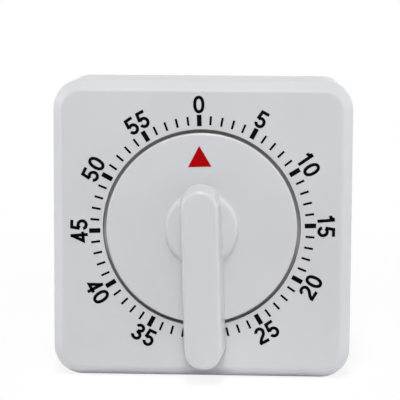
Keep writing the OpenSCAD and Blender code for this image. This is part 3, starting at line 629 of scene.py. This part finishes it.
class TIMER_OT_case(bpy.types.Operator):
    """Gives the case, its screws and its magnet their finishes"""

    bl_idname = "timer.case"
    bl_label = "Case"
    bl_options = {"REGISTER", "UNDO"}

    def execute(self, context):
        c = context.scene.timer_colours
        surface = {"roughness": 0.54, "grain": 0.22 * MM, "depth": 0.006 * MM}
        # The case's moulding has painted shade deep in the dial's well.
        dress(moulded("case_plastic", c.case, well=c.shade, **surface), "front_housing")
        dress(moulded("cover_plastic", c.case, **surface), "rear_cover")
        dress(turned("cover_screws", c.zinc, 0.28, four=SCREW_HEAD), "cover_screws")
        dress(sintered("magnet_ferrite", c.ferrite), "wall_magnet")
        return {"FINISHED"}


class TIMER_OT_dial(bpy.types.Operator):
    """Gives the dial and its handle their finish"""

    bl_idname = "timer.dial"
    bl_label = "Dial"
    bl_options = {"REGISTER", "UNDO"}

    def execute(self, context):
        shade = context.scene.timer_colours.knob
        dress(moulded("dial_plastic", shade, roughness=0.33, grain=0.30 * MM,
                      depth=0.003 * MM), "dial_knob")
        return {"FINISHED"}


class TIMER_OT_movement(bpy.types.Operator):
    """Gives the clockwork and the bell their metals and plastics"""

    bl_idname = "timer.movement"
    bl_label = "Movement"
    bl_options = {"REGISTER", "UNDO"}

    def execute(self, context):
        c = context.scene.timer_colours
        dress(brushed("plate_steel", c.steel, 0.36, along="x"), "front_plate", "back_plate")
        dress(brushed("lever_steel", c.steel, 0.34, along="z"),
              "hammer_tail", "hammer_arm", "click")
        dress(brushed("spring_steel", c.blued, 0.32, along="y"),
              "mainspring", "click_spring", "hammer_spring")
        dress(moulded("wheel_acetal", c.acetal, roughness=0.38, grain=0.15 * MM,
                      depth=0.002 * MM), "second_wheel", "third_wheel", "escape_wheel")
        for node in ("main_arbor", "ratchet_wheel", "click_stud", "mainspring_stud",
                     "second_arbor", "third_arbor", "escape_arbor", "pallet_arbor",
                     "pallet_pins", "hammer_arbor", "hammer_spring_stud", "bell_post"):
            dress(turned(node, c.steel, 0.30), node)
        for node in ("arbor_bushes", "strike_cam", "great_wheel", "pallet_fork",
                     "inertia_wheel", "hammer_head"):
            dress(turned(node, c.brass, 0.30, marks_per_mm=9.0), node)
        for node in ("pillar_screws", "movement_screws"):
            dress(turned(node, c.zinc, 0.28, four=SCREW_HEAD), node)
        dress(turned("plate_pillars", c.steel, 0.30, four=PILLAR), "plate_pillars")
        dress(turned("bell_screw", c.zinc, 0.28), "bell_screw")
        dress(turned("bell", c.zinc, 0.22, marks_per_mm=5.0), "bell")
        return {"FINISHED"}


class TIMER_OT_springs(bpy.types.Operator):
    """Cuts the leaf springs of the click and the hammer into slices across their length"""

    bl_idname = "timer.springs"
    bl_label = "Leaf springs"
    bl_options = {"REGISTER", "UNDO"}

    def execute(self, context):
        for node, holder, pressed in (("click_spring", "great_wheel_body", "click_body"),
                                      ("hammer_spring", "case", "hammer_body")):
            mesh = bmesh.new()
            mesh.from_mesh(NODES[node].data)
            bmesh.ops.remove_doubles(mesh, verts=mesh.verts, dist=SAME_CORNER)
            # Nearly all the points lie round the foot, so their mean is its middle.
            foot = sum((v.co for v in mesh.verts), Vector()) / len(mesh.verts)
            tip = max((v.co.copy() for v in mesh.verts), key=lambda co: (co - foot).length)
            foot.y = tip.y
            # The first slices are left whole, because the foot lies in them.
            for i in range(2, SLICES):
                bmesh.ops.bisect_plane(
                    mesh, geom=[*mesh.verts, *mesh.edges, *mesh.faces],
                    plane_co=foot.lerp(tip, i / SLICES), plane_no=tip - foot)
            leaf = add_piece(node + "_leaf", mesh, NODES[node].data.materials[0])
            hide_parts(node)
            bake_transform(leaf)
        return {"FINISHED"}


class TIMER_OT_marks(bpy.types.Operator):
    """Prints the minute marks round the dial"""

    bl_idname = "timer.marks"
    bl_label = "Minute marks"
    bl_options = {"REGISTER", "UNDO"}

    def execute(self, context):
        p = context.scene.timer_print
        ink = printed("scale_ink", context.scene.timer_colours.black)
        maker = bpy.data.objects.new("marks_maker", bpy.data.meshes.new("marks_maker"))
        context.scene.collection.objects.link(maker)
        tree = marks_tree(ink)
        modifier = maker.modifiers.new("marks", "NODES")
        modifier.node_group = tree
        sizes = {"Marks": p.marks, "Reach": p.mark_reach, "Length": p.mark_length,
                 "Width": p.mark_width, "Bold length": p.bold_length,
                 "Bold width": p.bold_width, "Ink": 2 * p.ink,
                 "Turn": -math.pi / 2 - p.turn}
        for item in tree.interface.items_tree:
            if item.in_out == "INPUT":
                modifier[item.identifier] = sizes[item.name]
        context.view_layer.update()
        made = bpy.data.meshes.new_from_object(
            maker.evaluated_get(context.evaluated_depsgraph_get()))
        bpy.data.objects.remove(maker)
        made.transform(Matrix.Translation((DIAL_X + p.shift, FACE_Y, DIAL_Z)))
        made.name = "minute_marks"
        marks = bpy.data.objects.new("minute_marks", made)
        context.scene.collection.objects.link(marks)
        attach(marks, "case")
        return {"FINISHED"}


class TIMER_OT_numerals(bpy.types.Operator):
    """Prints the numerals outside the marks"""

    bl_idname = "timer.numerals"
    bl_label = "Numerals"
    bl_options = {"REGISTER", "UNDO"}

    def execute(self, context):
        p = context.scene.timer_print
        ink = bpy.data.materials["scale_ink"]
        h = p.numeral_stroke / p.numeral_height / 2
        mesh = bmesh.new()
        for minute in range(0, p.marks, BOLD_EVERY):
            text = str(minute)
            # In the lower third of the ring the numerals have their heads to the dial.
            inward = p.marks / 3 <= minute <= p.marks * 2 / 3
            for i, numeral in enumerate(text):
                shift = (i - (len(text) - 1) / 2) * p.numeral_step
                turn = (math.radians(360 / p.marks * minute) - p.turn
                        + (-shift if inward else shift))
                facing = turn + (math.pi if inward else 0)
                place = (on_face(turn, p.numeral_reach, facing, FACE_Y + p.ink, p.shift)
                         @ Matrix.Diagonal((p.numeral_height, 1, p.numeral_height, 1))
                         @ Matrix.Translation(-NUMERAL_MIDDLE))
                for points in strokes_of(numeral, h):
                    draw_stroke(mesh, points, h, place, 2 * p.ink)
        numerals = add_print("numerals", mesh, ink)
        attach(numerals, "case")
        return {"FINISHED"}


class TIMER_OT_pointer(bpy.types.Operator):
    """Prints the red pointer on the dial"""

    bl_idname = "timer.pointer"
    bl_label = "Pointer"
    bl_options = {"REGISTER", "UNDO"}

    def execute(self, context):
        p = context.scene.timer_print
        half, tip = p.pointer_width / 2, p.pointer_reach
        foot = tip - p.pointer_height
        disc_y = front_y("dial_knob", DIAL_X, DIAL_Z + tip - p.pointer_height / 2)
        place = on_face(-p.turn, 0, -p.turn, disc_y + p.ink)
        mesh = bmesh.new()
        back, front = ([mesh.verts.new(place @ Vector((x, y, z)))
                        for x, z in ((-half, foot), (half, foot), (0, tip))]
                       for y in (0, -2 * p.ink))
        mesh.faces.new(back)
        mesh.faces.new(front)
        for i, j in ((0, 1), (1, 2), (2, 0)):
            mesh.faces.new((back[i], back[j], front[j], front[i]))
        ink = printed("pointer_ink", context.scene.timer_colours.red)
        pointer = add_print("red_pointer", mesh, ink)
        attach(pointer, "dial")
        return {"FINISHED"}


STEPS = (TIMER_OT_stage, TIMER_OT_case, TIMER_OT_dial, TIMER_OT_movement,
         TIMER_OT_springs, TIMER_OT_marks, TIMER_OT_numerals, TIMER_OT_pointer)
GROUPS = {"timer_print": TimerPrint, "timer_colours": TimerColours, "timer_view": TimerView}


class TIMER_PT_sidebar(bpy.types.Panel):
    """Lists the timer's sizes, colours and steps"""

    bl_label = "Timer"
    bl_idname = "TIMER_PT_sidebar"
    bl_space_type = "VIEW_3D"
    bl_region_type = "UI"
    bl_category = "Timer"

    def draw(self, context):
        for name, group in GROUPS.items():
            shown = self.layout.box()
            for setting in group.__annotations__:
                shown.prop(getattr(context.scene, name), setting)
        for step in STEPS:
            self.layout.operator(step.bl_idname)


CLASSES = (*GROUPS.values(), *STEPS, TIMER_PT_sidebar)


def register():
    for kind in CLASSES:
        bpy.utils.register_class(kind)
    for name, group in GROUPS.items():
        setattr(bpy.types.Scene, name, PointerProperty(type=group))


def unregister():
    for name in GROUPS:
        delattr(bpy.types.Scene, name)
    for kind in reversed(CLASSES):
        bpy.utils.unregister_class(kind)


def main():
    register()
    for step in STEPS:
        group, name = step.bl_idname.split(".")
        getattr(getattr(bpy.ops, group), name)()


if __name__ == "__main__":
    main()
